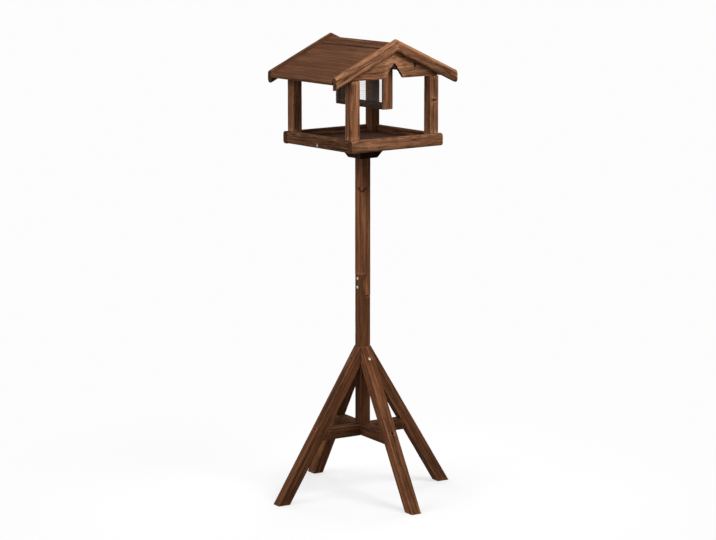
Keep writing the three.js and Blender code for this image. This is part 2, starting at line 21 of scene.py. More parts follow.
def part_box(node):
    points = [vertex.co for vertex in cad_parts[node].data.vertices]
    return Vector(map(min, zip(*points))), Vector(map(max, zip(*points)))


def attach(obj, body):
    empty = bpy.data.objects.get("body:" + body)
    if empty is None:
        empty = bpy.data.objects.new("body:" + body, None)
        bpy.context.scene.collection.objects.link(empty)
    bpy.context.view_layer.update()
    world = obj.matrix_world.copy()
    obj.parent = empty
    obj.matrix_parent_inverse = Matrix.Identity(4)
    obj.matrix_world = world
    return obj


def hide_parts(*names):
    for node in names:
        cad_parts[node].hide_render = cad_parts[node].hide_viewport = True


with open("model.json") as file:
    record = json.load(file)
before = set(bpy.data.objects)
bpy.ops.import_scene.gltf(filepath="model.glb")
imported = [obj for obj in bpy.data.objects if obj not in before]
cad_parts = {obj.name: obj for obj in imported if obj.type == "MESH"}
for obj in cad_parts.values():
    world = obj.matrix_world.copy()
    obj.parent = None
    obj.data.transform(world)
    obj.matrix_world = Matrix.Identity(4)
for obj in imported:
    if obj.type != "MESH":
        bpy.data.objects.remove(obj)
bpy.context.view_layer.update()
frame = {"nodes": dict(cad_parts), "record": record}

# %% [markdown]
# ## The camera
#
# The photograph was taken with a long lens from a little above the roof, so the sides of the tray
# hardly converge. A camera could be placed by eye, but a long lens hides mistakes in distance and
# shows every mistake in angle. So the camera stands at a measured distance along a measured
# direction, and is only tipped down, never rolled or shifted.

# %% Place the camera
VIEW_AZIMUTH = math.radians(37.5)
VIEW_DISTANCE = 8.2506
VIEW_SIDESTEP = -0.0159
VIEW_HEIGHT = 2.211
VIEW_TILT = math.radians(9.885)
LENS = 124.46
SENSOR_WIDTH = 36

def link(made):
    bpy.context.scene.collection.objects.link(made)
    return made


lens = bpy.data.cameras.new("camera")
lens.lens = LENS
lens.sensor_width = SENSOR_WIDTH
camera = link(bpy.data.objects.new("camera", lens))
aside = Vector((math.cos(VIEW_AZIMUTH), -math.sin(VIEW_AZIMUTH), 0))
ahead = Vector((math.sin(VIEW_AZIMUTH), math.cos(VIEW_AZIMUTH), 0))
camera.location = aside * VIEW_SIDESTEP - ahead * VIEW_DISTANCE + Vector((0, 0, VIEW_HEIGHT))
camera.rotation_euler = (math.pi / 2 - VIEW_TILT, 0, -VIEW_AZIMUTH)
bpy.context.scene.camera = camera
print("camera at", tuple(round(c, 3) for c in camera.location))

# %% [markdown]
# ## Shader maths as plain sums
#
# A procedural finish is mostly arithmetic: distances, ripples and masks. Wiring each sum by hand
# hides the idea, so a small class wraps a socket and lets Python's own operators add the nodes.
# Colours and vectors have their own calls, because a Math node would turn them grey. Every other
# node comes from one method that takes its kind, its settings and its inputs.

# %% Wrap sockets and materials
def operator(operation, reflected=False):
    """One of Python's operators, as a Math node."""
    def work(value, other):
        pair = (other, value) if reflected else (value, other)
        return value.work_out(operation, *pair)
    return work


class Value:
    """A value on its way through a material, which can be used in ordinary sums."""

    def __init__(self, finish, socket):
        self.finish = finish
        self.socket = socket

    def work_out(self, operation, *values):
        return self.finish.node("ShaderNodeMath", {"operation": operation}, dict(enumerate(values)))

    __add__ = __radd__ = operator("ADD")
    __mul__ = __rmul__ = operator("MULTIPLY")
    __sub__ = operator("SUBTRACT")
    __rsub__ = operator("SUBTRACT", reflected=True)
    __truediv__ = operator("DIVIDE")
    __rtruediv__ = operator("DIVIDE", reflected=True)
    __pow__ = operator("POWER")
    __rpow__ = operator("POWER", reflected=True)
    __mod__ = operator("FLOORED_MODULO")
    __rmod__ = operator("FLOORED_MODULO", reflected=True)


class Finish:
    """A material and the ways of adding to it."""

    def __init__(self, name):
        self.material = bpy.data.materials.new(name)
        self.material.use_nodes = True
        self.tree = self.material.node_tree
        self.skin = self.tree.nodes["Principled BSDF"]

    def put(self, socket, value):
        if isinstance(value, Value):
            self.tree.links.new(value.socket, socket)
        else:
            socket.default_value = value

    def node(self, kind, settings, inputs, output=0):
        """Adds a node and gives its output, or a list of outputs where a tuple names them."""
        made = self.tree.nodes.new(kind)
        for name, setting in settings.items():
            setattr(made, name, setting)
        for key, value in inputs.items():
            self.put(made.inputs[key], value)
        if isinstance(output, tuple):
            return [Value(self, made.outputs[key]) for key in output]
        return Value(self, made.outputs[output])

    def attribute(self, name, output):
        return self.node("ShaderNodeAttribute", {"attribute_name": name}, {}, output)

    def split(self, vector):
        return self.node("ShaderNodeSeparateXYZ", {}, {0: vector}, (0, 1, 2))

    def stretch(self, vector, scales):
        return self.node("ShaderNodeVectorMath", {"operation": "MULTIPLY"}, {0: vector, 1: scales})

    def noise(self, vector, detail=2.0, roughness=0.5):
        inputs = {"Vector": vector, "Scale": 1.0, "Detail": detail, "Roughness": roughness}
        return self.node("ShaderNodeTexNoise", {"noise_dimensions": "3D"}, inputs)

    def ramp(self, value, low, high):
        """0 below low and 1 above high, or the other way round if low is the larger."""
        settings = {"interpolation_type": "SMOOTHSTEP"}
        inputs = {"Value": value, "From Min": low, "From Max": high}
        return self.node("ShaderNodeMapRange", settings, inputs)

    def blend(self, factor, first, second, kind="MIX"):
        settings = {"data_type": "RGBA", "blend_type": kind}
        return self.node("ShaderNodeMix", settings, {0: factor, 6: first, 7: second}, 2)

    def layered(self, colour, layers):
        """Lays colours over the first one, each as strongly as its mask and its share say."""
        for mask, share, stain in layers:
            colour = self.blend(mask * share, colour, stain)
        return colour

    def set(self, **inputs):
        for name, value in inputs.items():
            self.put(self.skin.inputs[name.replace("_", " ")], value)


def srgb(red, green, blue):
    """A colour as a picture shows it, turned into the linear values that light works in."""
    shares = [channel / 255 for channel in (red, green, blue)]
    return [s / 12.92 if s <= 0.04045 else ((s + 0.055) / 1.055) ** 2.4 for s in shares] + [1.0]


print("shader helpers ready")

# %% [markdown]
# ## Floor, backdrop and light
#
# The table stands on a white studio floor that runs out of sight, with a faint soft shadow round
# its feet. A curved paper sheet would work, but it shades off towards the back. A very wide flat
# floor is even everywhere, and its colour for the camera is part light from the lamps, which keeps
# the shadow near the feet, and part plain white.

# %% Make the floor and the lamps
CORNERS = ((-1, -1), (1, -1), (1, 1), (-1, 1))     # of a square, in turn
FLOOR_REACH = 90.0
LIT_SHARE = 0.42          # of the floor near the feet that takes light; the rest is plain white
LIT_NEAR = 0.4
LIT_FAR = 1.5
PAPER = 0.77              # the share of its light that the floor sends to the camera
BOUNCE = 0.2              # and the share that it sends up to the table
WHITE = 0.98
SKY = 0.62
SHOWN_TO = ("Is Camera Ray", "Is Glossy Ray", "Is Transmission Ray")

def grey(share):
    return (share, share, share, 1.0)


def studio_floor():
    finish = Finish("studio_floor")
    finish.set(Base_Color=grey(BOUNCE), Roughness=1.0, Specular_IOR_Level=0.0)
    paper = finish.node("ShaderNodeBsdfDiffuse", {}, {"Color": grey(PAPER)})
    white = finish.node("ShaderNodeEmission", {}, {"Color": grey(1.0), "Strength": WHITE})
    place = finish.node("ShaderNodeTexCoord", {}, {}, "Object")
    away = finish.node("ShaderNodeVectorMath", {"operation": "LENGTH"}, {0: place}, "Value")
    lit = finish.ramp(away, LIT_FAR, LIT_NEAR) * LIT_SHARE
    shown = finish.node("ShaderNodeMixShader", {}, {0: lit, 1: white, 2: paper})
    seen, mirrored, passed = finish.node("ShaderNodeLightPath", {}, {}, SHOWN_TO)
    skin = Value(finish, finish.skin.outputs[0])
    for_camera = seen + mirrored + passed
    choice = finish.node("ShaderNodeMixShader", {}, {0: for_camera, 1: skin, 2: shown})
    finish.put(finish.tree.nodes["Material Output"].inputs["Surface"], choice)
    return finish.material


floor_mesh = bpy.data.meshes.new("studio_floor")
corners = [(x * FLOOR_REACH, y * FLOOR_REACH, 0) for x, y in CORNERS]
floor_mesh.from_pydata(corners, [], [(0, 1, 2, 3)])
floor_mesh.materials.append(studio_floor())
floor = link(bpy.data.objects.new("studio_floor", floor_mesh))

LAMP_AIM = Vector((0, 0, 1.3))
LAMPS = {
    # name: (turn to the right of the front, elevation, distance, width, power)
    "key": (12, 42, 2.4, 1.2, 56),
    "fill": (-95, 22, 2.6, 1.8, 37),
    "side": (115, 12, 2.8, 1.4, 26),
    "back": (175, 10, 3.0, 1.6, 24),
}
for name, (turn, elevation, distance, width, power) in LAMPS.items():
    lamp = bpy.data.lights.new(name, "AREA")
    lamp.energy = power
    lamp.size = width
    holder = link(bpy.data.objects.new(name, lamp))
    holder.rotation_euler = (math.radians(90 - elevation), 0, math.radians(turn))
    holder.location = LAMP_AIM + holder.rotation_euler.to_matrix() @ Vector((0, 0, distance))

world = bpy.data.worlds.new("studio")
world.use_nodes = True
bpy.context.scene.world = world
sky = world.node_tree.nodes["Background"]
sky.inputs["Color"].default_value = grey(1.0)
sky.inputs["Strength"].default_value = SKY
bpy.context.scene.view_settings.view_transform = "Standard"
print("lamps:", sorted(LAMPS))

# %% [markdown]
# ## Reading a piece of timber from its solid
#
# Every board and post is a straight length of timber with its corners cut. Its largest flat faces
# give the direction of its face and its edge, and the grain runs square to both. The flat ends
# that touch the solid's outline are the saw cuts. Reading them here means that no size is typed
# twice: the looks follow the solids, whatever their sizes are.

# %% Measure the solids
FLAT_GROUP = 2            # decimals that make two facets' directions count as one
PLANE_GROUP = 3           # decimals that make two facets' distances count as one
POINT_GROUP = 6           # decimals that make two points count as one
CUT_AREA = 4e-5           # square metres: smaller facets aren't saw cuts
NARROW = 0.005            # a lengthwise facet narrower than this belongs to a rounded edge
ON_OUTLINE = 1e-4         # a facet this close to the outermost point lies on the outline
# Cosines of the angle between two directions: above SAME they are one, below DIFFERENT they
# are two, and below SQUARE they are at right angles. A face that rises less than STEEP stands up.
SAME = 0.999
DIFFERENT = 0.9
SQUARE = 0.01
STEEP = 0.5
UP = Vector((0, 0, 1))

class Timber:
    """A piece's place and size: grain, edge and face directions, and half its size along each."""

    def __init__(self, node):
        self.node = node
        mesh = frame["nodes"][node].data
        mesh.calc_loop_triangles()
        self.points = np.array([vertex.co for vertex in mesh.vertices])
        self.flats = {}
        facings = {}
        for facet in mesh.loop_triangles:
            facing = tuple(round(c, FLAT_GROUP) + 0.0 for c in facet.normal)
            distance = facet.normal.dot(mesh.vertices[facet.vertices[0]].co)
            place = (facing, round(distance, PLANE_GROUP))
            for table, key in ((self.flats, place), (facings, facing)):
                entry = table.setdefault(key, [0.0, Vector(facet.normal), distance])
                entry[0] += facet.area
        ranked = sorted(facings.values(), key=lambda entry: -entry[0])
        normals = [normal for area, normal, distance in ranked]
        self.face = normals[0].normalized()
        side = next(normal for normal in normals if abs(normal.dot(self.face)) < DIFFERENT)
        self.grain = self.face.cross(side).normalized()
        middle = Vector((self.points.min(0) + self.points.max(0)) / 2)
        outward = middle if abs(self.face.z) < STEEP else UP
        if self.face.dot(outward) < 0:
            self.face = -self.face
        self.edge = self.face.cross(self.grain)
        self.axes = [self.grain, self.edge, self.face]
        reach = self.points @ np.array(self.axes).T
        low, high = reach.min(0), reach.max(0)
        self.half = [float(h) for h in (high - low) / 2]
        middles = zip(self.axes, (low + high) / 2)
        self.centre = sum((axis * float(middle) for axis, middle in middles), Vector())

    def reach(self, direction):
        """How far the solid goes in a direction."""
        return float((self.points @ np.array(direction)).max())

    def outer_flats(self):
        """The larger flat sides on the outline, as (area, distance along the normal, normal)."""
        for area, normal, distance in self.flats.values():
            if area >= CUT_AREA and self.reach(normal) - distance <= ON_OUTLINE:
                yield area, distance, normal

    def saw_cuts(self):
        """The planes that end the piece, as (distance along the normal, normal)."""
        cuts = []
        for area, distance, normal in self.outer_flats():
            if max(abs(normal.dot(self.edge)), abs(normal.dot(self.face))) > SAME:
                continue
            lengthwise = abs(normal.dot(self.grain)) < SQUARE
            if lengthwise and area / (2 * self.half[0]) < NARROW:
                continue
            cuts.append((distance, normal))
        return cuts


for name in ("leg_front", "bargeboard_front_left", "rail_left"):
    timber = Timber(name)
    print(name, [round(2 * h, 4) for h in timber.half], "cuts:", len(timber.saw_cuts()))

# %% [markdown]
# ## Planed stock with worn edges
#
# Planed softwood has its edges rounded by the machine, and after a season outside no edge is quite
# straight. A bevel on a box gives perfect edges, which is what makes modelled timber look false.
# So the section is drawn with real roundings and carried along the grain in short steps, and each
# step is pressed in by a smooth random amount that is larger on the edges than on the flats.

# %% Draw sections and carry them along the grain
EDGE_STEPS = 5            # facets in a rounded edge
STATION = 0.016           # distance between two steps along the grain
SPARE = 0.012             # extra length at each end, which the saw takes off
FLAT_WEAR = 0.00015
EDGE_WEAR = 0.0006
WEAR_SIZE = 28            # ripples in a metre of edge
GUARD = 1.7               # in radii: where the flat begins, measured from the sharp corner
GUARD_MOST = 0.96         # of half the narrower side

def rounded_section(half_edge, half_face, radii):
    """Points round a rectangle with rounded corners, and whether each is on a rounding."""
    corners = [Vector((x * half_edge, y * half_face)) for x, y in CORNERS]
    points = []
    for index, radius in enumerate(radii):
        corner = corners[index]
        come = (corner - corners[index - 1]).normalized()
        go = (corners[(index + 1) % 4] - corner).normalized()
        guard = min(GUARD * radius, GUARD_MOST * min(half_edge, half_face))
        points.append((corner - come * guard, 0.0))
        for step in range(EDGE_STEPS + 1):
            turn = math.pi / 2 * step / EDGE_STEPS
            arc = corner - come * radius + go * radius
            arc = arc + come * radius * math.sin(turn) - go * radius * math.cos(turn)
            points.append((arc, 1.0))
        points.append((corner + go * guard, 0.0))
    return points


def join_rings(mesh, rings):
    """Joins rings of vertices with four-sided faces, and closes both ends."""
    for first, second in zip(rings, rings[1:]):
        for index in range(len(first)):
            after = (index + 1) % len(first)
            mesh.faces.new((first[index], first[after], second[after], second[index]))
    mesh.faces.new(rings[0][::-1])
    mesh.faces.new(rings[-1])
    bmesh.ops.recalc_face_normals(mesh, faces=mesh.faces)


def stock(timber, radii):
    """A length of planed timber, a little longer than its piece."""
    section = rounded_section(timber.half[1], timber.half[2], radii)
    length = timber.half[0] + SPARE
    count = max(3, round(2 * length / STATION) + 1)
    mesh = bmesh.new()
    rings = []
    for along in np.linspace(-length, length, count):
        ring = []
        for (across, up), on_edge in section:
            place = timber.centre + timber.grain * along + timber.edge * across + timber.face * up
            ripple = 0.5 + 0.5 * noise.noise(place * WEAR_SIZE)
            depth = EDGE_WEAR * ripple ** 2 if on_edge else FLAT_WEAR * ripple
            inward = -(timber.edge * across + timber.face * up).normalized()
            ring.append(mesh.verts.new(place + inward * depth))
        rings.append(ring)
    join_rings(mesh, rings)
    return mesh


print("points round a section:", len(rounded_section(1.0, 1.0, [0.1] * 4)))

# %% [markdown]
# ## Saw cuts and joints
#
# A saw leaves a flat end with a crisp edge that sandpaper then eases. Cutting a mesh along a plane
# and closing it with one face is exact and cheap, so all ends and mitres are made so. Half laps,
# rebates, notches and countersinks are hollows, and those are taken out with a solid cutter.

# %% Saw, ease and carve
EASE = 0.0007             # width of the eased edge of a saw cut
SHARP = math.radians(50)
JOINT_GAP = 0.0003
BISECT_SLACK = 1e-7

def saw(mesh, distance, normal):
    everything = mesh.verts[:] + mesh.edges[:] + mesh.faces[:]
    cut = bmesh.ops.bisect_plane(mesh, geom=everything, plane_co=normal * distance, plane_no=normal,
                                 clear_outer=True, dist=BISECT_SLACK)
    rim = [part for part in cut["geom_cut"] if isinstance(part, bmesh.types.BMEdge)]
    if rim:
        bmesh.ops.edgeloop_fill(mesh, edges=rim)


def ease(mesh, width=EASE, steps=2, sharp=SHARP, shortest=0.0):
    """Takes off the edges that turn by more than the angle sharp."""
    edges = [edge for edge in mesh.edges
             if edge.calc_face_angle(0.0) > sharp and edge.calc_length() >= shortest]
    bmesh.ops.bevel(mesh, geom=edges, offset=width, offset_type="OFFSET", segments=steps,
                    profile=0.5, affect="EDGES", clamp_overlap=True)


def as_object(mesh, name):
    data = bpy.data.meshes.new(name)
    mesh.to_mesh(data)
    mesh.free()
    return link(bpy.data.objects.new(name, data))


def carve(made, cutters):
    """Takes solid cutters, given as bmeshes, out of an object."""
    tools = [as_object(cutter, "cutter") for cutter in cutters]
    for tool in tools:
        cut = made.modifiers.new("cut", "BOOLEAN")
        cut.operation = "DIFFERENCE"
        cut.solver = "EXACT"
        cut.object = tool
    depsgraph = bpy.context.evaluated_depsgraph_get()
    carved = bpy.data.meshes.new_from_object(made.evaluated_get(depsgraph))
    made.modifiers.clear()
    made.data = carved
    for tool in tools:
        bpy.data.objects.remove(tool)


def box_cutter(centre, axes, half):
    """A box with the given middle, directions and half sizes."""
    cutter = bmesh.new()
    bmesh.ops.create_cube(cutter, size=2.0)
    turn = Matrix([list(axis * size) for axis, size in zip(axes, half)]).transposed().to_4x4()
    bmesh.ops.transform(cutter, matrix=Matrix.Translation(centre) @ turn, verts=cutter.verts)
    bmesh.ops.recalc_face_normals(cutter, faces=cutter.faces)
    return cutter


WORLD_AXES = [Vector((1, 0, 0)), Vector((0, 1, 0)), UP]

def span_cutter(low, high):
    """A box between two corners along the world's axes."""
    low, high = Vector(low), Vector(high)
    return box_cutter((low + high) / 2, WORLD_AXES, (high - low) / 2)


print("workshop ready")

# %% [markdown]
# ## Marking the grain on every piece
#
# Real grain is solid: the rings on a board's face carry on over its edge and end in arcs on the
# sawn end. A flat image can't do that without seams. So each vertex is told where it would lie in
# an imaginary trunk, and the finish works in that space. More marks say how pale the piece is,
# which is its stain together with painted light and shade for where it stands, how strongly its
# grain shows, how sharp the surface is, for wear and a painted highlight on edges, and whether it
# is end grain, which drinks more stain, or the side of a narrow joint, which gets painted shade as
# well as stain. Knots could all be left to chance, but the eye soon finds the few large ones, so
# three pieces are also told where their knot lies.

# %% Mark trunk places, stain and painted light, knots, wear and highlight, end grain and shade
PITH_NEAR = 0.012         # the trunk's middle lies at least this far below a piece's own middle,
PITH_FAR = 0.055          # at most this far,
PITH_ASIDE = 0.7          # and aside by up to this share of the first
TRUNK_LENGTH = 40.0
LEAN_MOST = 0.018
TONE_SPREAD = 0.08
# the wear mask that this fills also lays a painted highlight on the rounded edges
FULL_WEAR_AND_SHEEN = math.radians(30)    # how far the surface has to turn at a point to be wholly worn
END_GRAIN = 0.3           # a facet that faces along the grain by more than this cosine is end grain
IN_JOINT = 0.6            # and one that faces into a joint by more than this is a side of it
# the darker sides of joints and walls of screw holes are painted shade, with stain held there too
JOINT_SHADE_AND_STAIN = 1.35         # how much darker than end grain the sides of an open joint are
SHADED_SHARP = math.radians(35)
STAIN_AND_LIGHT_TONES = {
    # how pale each kind of piece is: its stain, and painted light and shade for where it stands
    "leg_front": 1.05, "leg_left": 0.76, "leg_back": 0.95, "leg": 0.88, "brace": 0.52,
    "pole_lower": 0.73, "pole_upper": 1.11, "pole_seat": 0.16,
    "rail_left": 0.49, "rail_back": 0.66, "rail_right": 0.5, "rail": 0.72, "floor": 0.35,
    "post_front": 1.14, "post_back_right": 0.56, "post": 1.03,
    "gable": 0.9, "bargeboard_back": 0.62, "barge": 0.95, "roof": 0.62, "ridge": 0.64,
    "purlin": 0.5, "feeder_end_front": 0.82, "feeder": 0.42,
}
FIGURES = {
    # how strongly the grain shows on the pieces that don't show all of it
    "leg": 0.85, "brace": 0.85, "pole": 0.8, "post_back_right": 0.5, "post": 0.9, "roof": 0.5,
    "ridge": 0.6, "bargeboard_back": 0.6, "floor": 0.7,
}
CHOSEN_PLANKS = {
    # where the first plank didn't look right, the number of the one that was used
    "pole_upper": 4, "pole_lower": 4, "post_front_left": 6, "post_front_right": 2,
    "post_back_left": 6, "post_back_right": 2, "rail_front": 5, "rail_back": 3,
    "gable_panel_front": 5, "leg_back": 4, "feeder_end_front": 1,
}
KNOTS = {
    # a knot that shows on a piece: its middle, how far it is split in two, how steeply its halves
    # rise, and its size beside a common one
    "pole_upper": ((-0.019, -0.019, 1.043), (0.011, 0.6, 1.0)),
    "post_front_right": ((0.164, -0.177, 1.355), (0.0, 0.0, 0.9)),
    "gable_panel_front": ((0.086, -0.17, 1.474), (0.0, 0.0, 0.9)),
}
NO_KNOT = ((0.0, 0.0, -10.0), (0.0, 0.0, 1.0))

def share_of(table, node):
    """The share that a table gives to the first name that starts the piece's, or else 1."""
    return next((share for start, share in table.items() if node.startswith(start)), 1.0)


def mark(data, name, values, kind="FLOAT", domain="POINT"):
    field = "vector" if kind == "FLOAT_VECTOR" else "value"
    data.attributes.new(name, kind, domain).data.foreach_set(field, values)


def mark_grain(made, timber, shut_face=None):
    """Marks a piece's vertices. shut_face is the way that a side in a narrow joint faces."""
    dice = random.Random(f"{timber.node} {CHOSEN_PLANKS.get(timber.node, 0)}")
    aside = dice.uniform(-PITH_ASIDE, PITH_ASIDE) * PITH_NEAR
    pith = Vector((0, aside, -dice.uniform(PITH_NEAR, PITH_FAR)))
    lean = Vector((0, dice.uniform(-LEAN_MOST, LEAN_MOST), dice.uniform(-LEAN_MOST, LEAN_MOST)))
    start = dice.uniform(0, TRUNK_LENGTH)
    # how pale the piece is: its stain, varied at random, and painted light and shade for where it
    # stands
    stain_and_light = share_of(STAIN_AND_LIGHT_TONES, timber.node) * dice.uniform(1 - TONE_SPREAD, 1 + TONE_SPREAD)
    middle, (split, rise, size) = KNOTS.get(timber.node, NO_KNOT)

    def in_trunk(point):
        local = Vector([(point - timber.centre).dot(axis) for axis in timber.axes])
        return local - pith + lean * local.x + Vector((start, 0, 0))

    data = made.data
    count = len(data.vertices)
    places = [c for vertex in data.vertices for c in in_trunk(vertex.co)]
    mark(data, "trunk", places, "FLOAT_VECTOR")
    mark(data, "knot", list(in_trunk(Vector(middle))) * count, "FLOAT_VECTOR")
    form = [split, math.copysign(rise, timber.grain.z), size]
    mark(data, "knot_form", form * count, "FLOAT_VECTOR")
    mark(data, "stain_and_light", [stain_and_light] * count)
    mark(data, "figure", [share_of(FIGURES, timber.node)] * count)

    # sharp turns of the surface are worn, and they are also given a painted highlight
    wear_and_sheen = [0.0] * count
    normals = {}
    for face in data.polygons:
        for index in face.vertices:
            normals.setdefault(index, []).append(face.normal.copy())
    for index, around in normals.items():
        turn = max(first.angle(second, 0.0) for first in around for second in around)
        wear_and_sheen[index] = min(1.0, turn / FULL_WEAR_AND_SHEEN)
    mark(data, "wear_and_sheen", wear_and_sheen)

    ends_and_joint_shade = [float(abs(face.normal.dot(timber.grain)) > END_GRAIN) for face in data.polygons]
    # the sides of a narrow joint get painted shade as well as the stain held there
    if shut_face:
        for index, face in enumerate(data.polygons):
            if face.normal.dot(shut_face) > IN_JOINT:
                ends_and_joint_shade[index] = JOINT_SHADE_AND_STAIN
    mark(data, "end_grain_and_joint_shade", ends_and_joint_shade, domain="FACE")


def smooth(made):
    """Rounds the shading of edges while the flats stay flat."""
    for face in made.data.polygons:
        face.use_smooth = True
    made.data.set_sharp_from_angle(angle=SHADED_SHARP)
    weighted = made.modifiers.new("flat faces stay flat", "WEIGHTED_NORMAL")
    weighted.keep_sharp = True


print("grain marks ready")

# %% [markdown]
# ## The stained timber
#
# The wood is fast-grown softwood under a thin brown stain, so the grain shows through it: soft dark
# rings a few millimetres apart, long fibres, reddish and ochre bands, some knots, and paler edges
# where the stain has worn, which also carry a painted highlight. One could paint such boards, but a
# solid texture in trunk space gives face, edge and end grain at once. The trunk is bent by slow
# noise and pushed aside by the knots, the distance from its pith is cut into rings, and each ring
# fades from pale to dark. Over that go bands, streaks, fibres and pores, then knots, worn edges
# with their painted highlight, end grain, and painted shade in joints and holes, and last how pale
# the piece is, which is its stain with painted light and shade.

# %% Mix the timber finish
RING = 0.0046             # from one ring to the next
BEND = 0.014              # how far slow noise bends the trunk,
RIPPLE = 0.0022           # and how far quicker noise does
KNOT_PLACES = (6.5, 12.0, 12.0)     # how many might lie in a metre along and across the trunk
KNOT_RARE = (0.8, 1.3)    # of numbers drawn from 0 to 1, those above the first give a knot
KNOT_LARGE = 0.3
KNOT_LEAST = 0.0001       # keeps the size of the others above nothing
KNOT_PUSH = 0.05          # how far the rings go round a knot left to chance, for its size,
CHOSEN_PUSH = 0.004       # and round a chosen one
KNOT_TALL = 190.0         # a chosen knot of size 1 reaches a 190th of a metre along the grain,
KNOT_WIDE = 100.0         # and a hundredth of a metre across it
RAGGED = 1.2              # how far fibres break a chosen knot's rim

def stained_timber(name, deep, body, plain, light, ochre, worn_and_sheen):
    finish = Finish(name)
    ramp = finish.ramp
    trunk = finish.attribute("trunk", "Vector")
    stain_and_light, figure, wear_and_sheen, end_grain_and_joint_shade = (
        finish.attribute(name, "Fac") for name in ("stain_and_light", "figure", "wear_and_sheen", "end_grain_and_joint_shade"))

    def grown(along, across, detail=2.0, roughness=0.5):
        """Noise with so many ripples in a metre along and across the grain."""
        place = finish.stretch(trunk, (along, across, across))
        return finish.noise(place, detail, roughness)

    chance = finish.node("ShaderNodeTexVoronoi", {}, {
        "Vector": finish.stretch(trunk, KNOT_PLACES), "Scale": 1.0}, ("Distance", "Color"))
    knot_size = ramp(finish.split(chance[1])[0], *KNOT_RARE) * KNOT_LARGE + KNOT_LEAST
    from_knot = finish.node("ShaderNodeVectorMath", {"operation": "SUBTRACT"},
                            {0: trunk, 1: finish.attribute("knot", "Vector")})
    past, beside, below = finish.split(from_knot)
    split, rise, size = finish.split(finish.attribute("knot_form", "Vector"))
    sideways = (beside ** 2.0 + below ** 2.0) ** 0.5
    lengthwise = (past - sideways * rise) * KNOT_TALL
    outward = (sideways - split) * KNOT_WIDE
    chosen_reach = (lengthwise ** 2.0 + outward ** 2.0) ** 0.5 / size
    knot_reach = chosen_reach.work_out("MINIMUM", chance[0] / knot_size, chosen_reach)
    knot = ramp(knot_reach, 0.75, 0.45)
    knot_rim = ramp(knot_reach, 1.15, 0.8) - knot
    push = ramp(knot_reach, 2.6, 0.5) * knot_size * KNOT_PUSH
    push = push + ramp(chosen_reach, 2.6, 0.5) * CHOSEN_PUSH

    across, depth = finish.split(trunk)[1:]
    bend = (grown(2.6, 15.0, 1.0) - 0.5) * BEND
    ripple = (grown(14.0, 60.0, 1.0) - 0.5) * RIPPLE
    radius = (across ** 2.0 + depth ** 2.0) ** 0.5 + bend + ripple + push
    ring = (radius / RING) % 1.0
    late = ramp(ring, 0.5, 0.92) * ramp(ring, 1.0, 0.95)
    fibre = grown(14.0, 520.0, 3.0, 0.6)
    pores = ramp(grown(45.0, 1500.0), 0.56, 0.66)
    coarse = grown(3.2, 150.0)
    line = grown(4.0, 290.0)
    streak = grown(2.4, 85.0)
    patch = grown(5.0, 11.0)
    band = grown(1.5, 38.0)
    blotch = grown(9.0, 22.0, 3.0)
    scuff = grown(35.0, 140.0, 3.0)
    ragged_reach = chosen_reach + (fibre - 0.5) * RAGGED

    grain_layers = (
        # where it goes, how strongly, colour
        (late, 0.8, deep),
        (ramp(band, 0.45, 0.72), 0.6, light),
        (ramp(blotch, 0.5, 0.75), 0.35, ochre),
        (ramp(streak, 0.5, 0.34), 0.36, deep),
        (ramp(streak, 0.53, 0.68), 0.5, light),
        (ramp(coarse, 0.5, 0.34), 0.42, deep),
        (ramp(coarse, 0.55, 0.68), 0.35, worn_and_sheen),
        (ramp(line, 0.44, 0.32), 0.4, deep),
        (ramp(line, 0.57, 0.69), 0.4, worn_and_sheen),
        (ramp(patch, 0.5, 0.62) * ramp(fibre, 0.5, 0.6), 0.35, worn_and_sheen),
        (ramp(fibre, 0.48, 0.34), 0.45, deep),
        (pores, 0.4, deep),
        (late, 0.35, deep),
    )
    mark_layers = (
        (knot_rim, 0.9, deep),
        (knot, 0.55, ochre),
        # worn edges: paler stain where it has rubbed off, and a painted highlight on the edges
        (wear_and_sheen * ramp(scuff, 0.35, 0.65) * figure, 0.6, worn_and_sheen),
        # end grain, and painted shade with held stain in joints and screw holes
        (end_grain_and_joint_shade, 0.7, deep),
        (ramp(ragged_reach, 1.15, 0.75) - ramp(ragged_reach, 0.6, 0.2) * 0.25, 0.9, deep),
    )
    colour = finish.blend(figure, plain, finish.layered(body, grain_layers))
    colour = finish.layered(colour, mark_layers)
    # last how pale the piece is: its stain, with painted light and shade for where it stands
    dim = finish.node("ShaderNodeCombineXYZ", {}, {0: stain_and_light, 1: stain_and_light, 2: stain_and_light})
    colour = finish.blend(1.0, colour, dim, "MULTIPLY")

    rough = 0.74 + (fibre - 0.5) * 0.25 - late * 0.08 + end_grain_and_joint_shade * 0.15
    height = fibre * 0.5 + late * 0.5 + coarse * 0.5 - pores * 0.3 - knot_rim * 0.6
    relief = finish.node("ShaderNodeBump", {}, {
        "Strength": 0.55, "Distance": 0.0009, "Height": height})
    finish.set(Base_Color=colour, Roughness=rough, Normal=relief, Specular_IOR_Level=0.02)
    return finish.material


# the last colour is that of rubbed stain and also of the painted highlight on edges
stand_finish = stained_timber(
    "stand_timber", deep=srgb(46, 26, 16), body=srgb(98, 62, 41), plain=srgb(100, 64, 43),
    light=srgb(156, 98, 64), ochre=srgb(120, 80, 44), worn_and_sheen=srgb(180, 120, 82))
head_finish = stained_timber(
    "head_timber", deep=srgb(50, 28, 17), body=srgb(106, 66, 44), plain=srgb(104, 68, 47),
    light=srgb(174, 116, 80), ochre=srgb(130, 86, 48), worn_and_sheen=srgb(200, 146, 108))
print("timber finishes:", stand_finish.name, head_finish.name)

# %% [markdown]
# ## Metal finishes
#
# Three metals show: the zinc on bolts and on a few screws, the spangled zinc on the mesh, and the
# dark heads of the nails and screws that were driven before staining. Bare metal settings look like
# chrome, so each one has fine noise in its colour and roughness, which is how weathered zinc breaks
# up a reflection.

